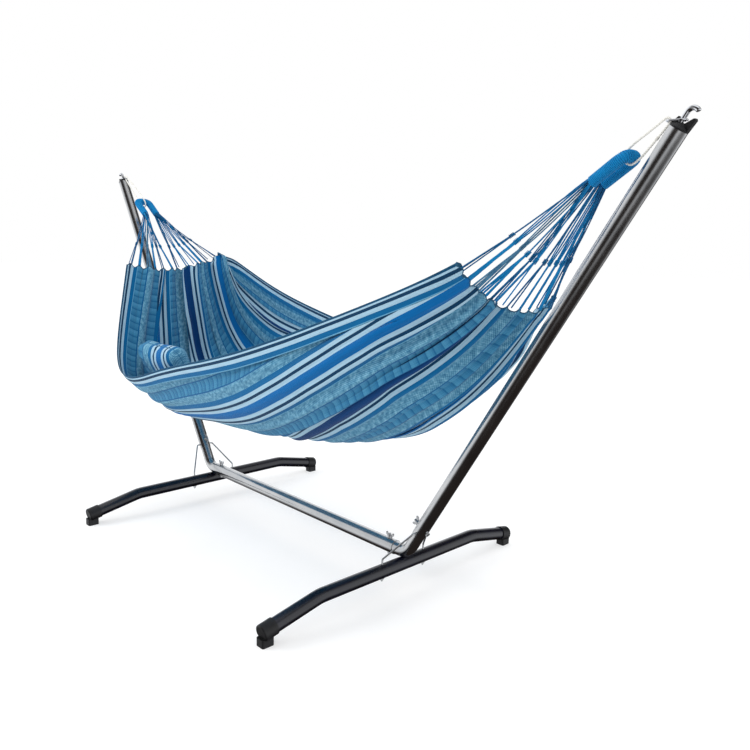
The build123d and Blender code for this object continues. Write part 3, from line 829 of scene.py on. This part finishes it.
def add_pillow():
    """The stuffed pillow, crowned by pressure, pulled in at its piped side seam and puckered towards it."""
    shape = pillow_block()
    mesh = bpy.data.meshes.new("pillow_cover")
    shape.to_mesh(mesh)
    shape.free()
    mesh.polygons.foreach_set("use_smooth", [True] * len(mesh.polygons))
    pillow = bpy.data.objects.new("pillow_cover", mesh)
    bpy.context.scene.collection.objects.link(pillow)
    mesh.materials.append(woven_finish("pillow_cotton", inside=False))
    layer = mesh.uv_layers.new(name="flat")
    for loop in mesh.loops:
        x, y, _ = mesh.vertices[loop.vertex_index].co
        layer.data[loop.index].uv = (y + 0.5, (x + y * 0.3) * 0.9 + 0.20)
    inflate(pillow)
    points = np.array([v.co[:] for v in mesh.vertices])
    spans = points.max(0) - points.min(0)
    points = (points - (points.max(0) + points.min(0)) / 2) * (np.array(PILLOW_SIZE) * 0.98 / spans)
    # Towards the side seam the cover pulls in and puckers.
    near_seam = np.exp(-(points[:, 2] / SEAM_REACH) ** 2)
    around = np.arctan2(points[:, 1] / PILLOW_SIZE[1], points[:, 0] / PILLOW_SIZE[0])
    pucker = 1 - near_seam * (0.035 + 0.008 * np.sin(46 * around))
    points[:, :2] *= pucker[:, None]
    turn = Matrix.Rotation(PILLOW_LEAN, 4, "X") @ Matrix.Rotation(radians(90), 4, "X")
    where = Matrix.Translation(PILLOW_CENTRE) @ turn
    for vertex, point in zip(mesh.vertices, points):
        vertex.co = where @ Vector(point)
    mesh.update()
    smooth = pillow.modifiers.new("smooth", "SUBSURF")
    smooth.levels = smooth.render_levels = 1
    on_seam = np.abs(points[:, 2]) < 0.002
    seam = points[on_seam][np.argsort(around[on_seam])]
    seam = np.array([where @ Vector(point) for point in seam])
    seam = np.concatenate([seam, seam[:1]])
    piping = new_object("pillow_piping", *tube(seam, 0.0021, around=8, lay=0.009),
                        yarn_finish("piping_yarn", tone(18, 76, 120), tone(70, 132, 168)))
    for piece in (pillow, piping):
        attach(piece, "pillow")
    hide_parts("pillow")


# ---- studio ----
BRIGHT_SIDES = ((-0.98, 0.10, -0.10), (0.95, 0.10, -0.30))     # where the steel sees the bright paper
DARK_PAPER, BRIGHT_PAPER = (0.030, 0.024, 0.022, 1.0), (1.15, 1.17, 1.20, 1.0)
FLOOR_HALF = 30.0


def add_world():
    """White paper all round. Shiny steel sees it bright to both ends and above, and dark elsewhere."""
    world = bpy.data.worlds.new("studio")
    world.use_nodes = True
    sky = Nodes(world.node_tree)
    direction = sky.node("TexCoord").outputs["Generated"]
    height = sky.node("SeparateXYZ", {0: direction}).outputs["Z"]
    towards = [sky.node("VectorMath", {0: direction, 1: side}, operation="DOT_PRODUCT").outputs["Value"]
               for side in BRIGHT_SIDES]

    def rises(value, start, end):
        return sky.grey(value, 0.0, 1.0, start, end, interpolation_type="SMOOTHSTEP")

    ends = rises(sky.math("MAXIMUM", *towards), 0.14, 0.68)
    ends = sky.math("MULTIPLY", ends, rises(height, -0.70, -0.30))
    lit = sky.math("MAXIMUM", ends, rises(height, 0.72, 0.97))
    seen = sky.tree.nodes["Background"]
    sky.set(seen, "Color", sky.blend(lit, DARK_PAPER, BRIGHT_PAPER))
    paper = sky.node("Background", {"Color": WHITE}).outputs[0]
    glossy = sky.node("LightPath").outputs["Is Glossy Ray"]
    shown = sky.node("MixShader", {0: glossy, 1: paper, 2: seen.outputs[0]}).outputs[0]
    sky.set(sky.tree.nodes["World Output"], "Surface", shown)
    bpy.context.scene.world = world


def add_area_light(name, place, target, size, power):
    data = bpy.data.lights.new(name, "AREA")
    data.shape, data.size, data.size_y = "RECTANGLE", *size
    data.energy = power
    light = bpy.data.objects.new(name, data)
    bpy.context.scene.collection.objects.link(light)
    light.location = place
    light.rotation_euler = (Vector(target) - Vector(place)).to_track_quat("-Z", "Y").to_euler()
    light.visible_glossy = False


def floor_finish():
    """Pale paper that leaves reflections to the paper round it."""
    finish = Finish("floor_paint", Roughness=0.9, Specular_IOR_Level=0.0, Emission_Color=WHITE,
                    Emission_Strength=0.5)
    speck = finish.noise(finish.place(), 3.0)
    finish.into(Base_Color=finish.ramp(speck, [(0.3, tone(194, 194, 194)), (0.7, tone(200, 200, 200))]))
    clear = finish.node("BsdfTransparent").outputs[0]
    glossy = finish.node("LightPath").outputs["Is Glossy Ray"]
    either = finish.node("MixShader", {0: glossy, 1: finish.shader.outputs[0], 2: clear}).outputs[0]
    finish.set(finish.tree.nodes["Material Output"], "Surface", either)
    return finish.material


def add_studio():
    """A pale floor against white paper, with broad soft lights from the front left and overhead."""
    bpy.context.scene.view_settings.view_transform = "Standard"
    add_world()
    add_area_light("key", (-2.2, -3.4, 2.4), (-0.3, 0.0, 0.7), (2.0, 1.4), 75.0)
    add_area_light("top", (0.4, 0.6, 3.6), (0.2, 0.0, 0.4), (2.4, 2.4), 22.0)
    corners = [(x * FLOOR_HALF, y * FLOOR_HALF, 0) for x, y in ((-1, -1), (1, -1), (1, 1), (-1, 1))]
    floor = new_object("floor", corners, [(0, 1, 2, 3)], floor_finish())


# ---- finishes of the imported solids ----
def finish_solids():
    base_steel = steel_finish("base_steel", (3.0, 260.0, 260.0))
    arm_steel = steel_finish("arm_steel", (260.0, 260.0, 3.0))
    coat, plastic = black_coat_finish(), black_plastic_finish()
    zinc = hardware_finish("zinc", (0.42, 0.43, 0.44, 1), (0.60, 0.61, 0.62, 1), 0.3)
    chrome = hardware_finish("chrome", (0.66, 0.67, 0.69, 1), (0.74, 0.75, 0.77, 1), 0.1)
    finishes = {"base_tube": base_steel, "stay_washers": zinc, "stay_nuts": zinc}
    for end in ENDS:
        finishes.update({
            f"elbow_tube_{end}": base_steel, f"arm_tube_{end}": arm_steel, f"foot_tube_{end}": coat,
            f"hook_rod_{end}": chrome, f"hanging_ring_{end}": chrome, f"hook_plug_{end}": zinc,
            f"arm_crown_{end}": plastic})
        for kind in ("base_bolt", "base_wing_nut", "arm_bolt", "arm_wing_nut"):
            finishes[f"{kind}_{end}"] = zinc
        for side in SIDES:
            finishes[f"foot_cap_{end}_{side}"] = plastic
            finishes[f"stay_rod_{end}_{side}"] = zinc
    for name, finish in finishes.items():
        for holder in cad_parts[name].material_slots:
            holder.material = finish


add_camera()
hems = add_cloth()
cord_finishes = [
    yarn_finish("cord_dark", tone(8, 68, 112), tone(22, 100, 148)),
    yarn_finish("cord_blue", tone(4, 94, 148), tone(14, 126, 182)),
    yarn_finish("cord_pale", tone(14, 70, 108), tone(96, 144, 172)),
]
loop_finish = yarn_finish("loop_cord", tone(6, 104, 160), tone(14, 132, 192))
rope_finish = yarn_finish("rope_yarn", tone(205, 203, 196), tone(238, 237, 232))
for end_name in ENDS:
    add_end_loop(end_name, loop_finish)
    add_hanging_rope(end_name, rope_finish)
    for number in range(CORDS_PER_END):
        add_bundle(end_name, number, hems[end_name], cord_finishes)
add_pillow()
finish_solids()
add_studio()
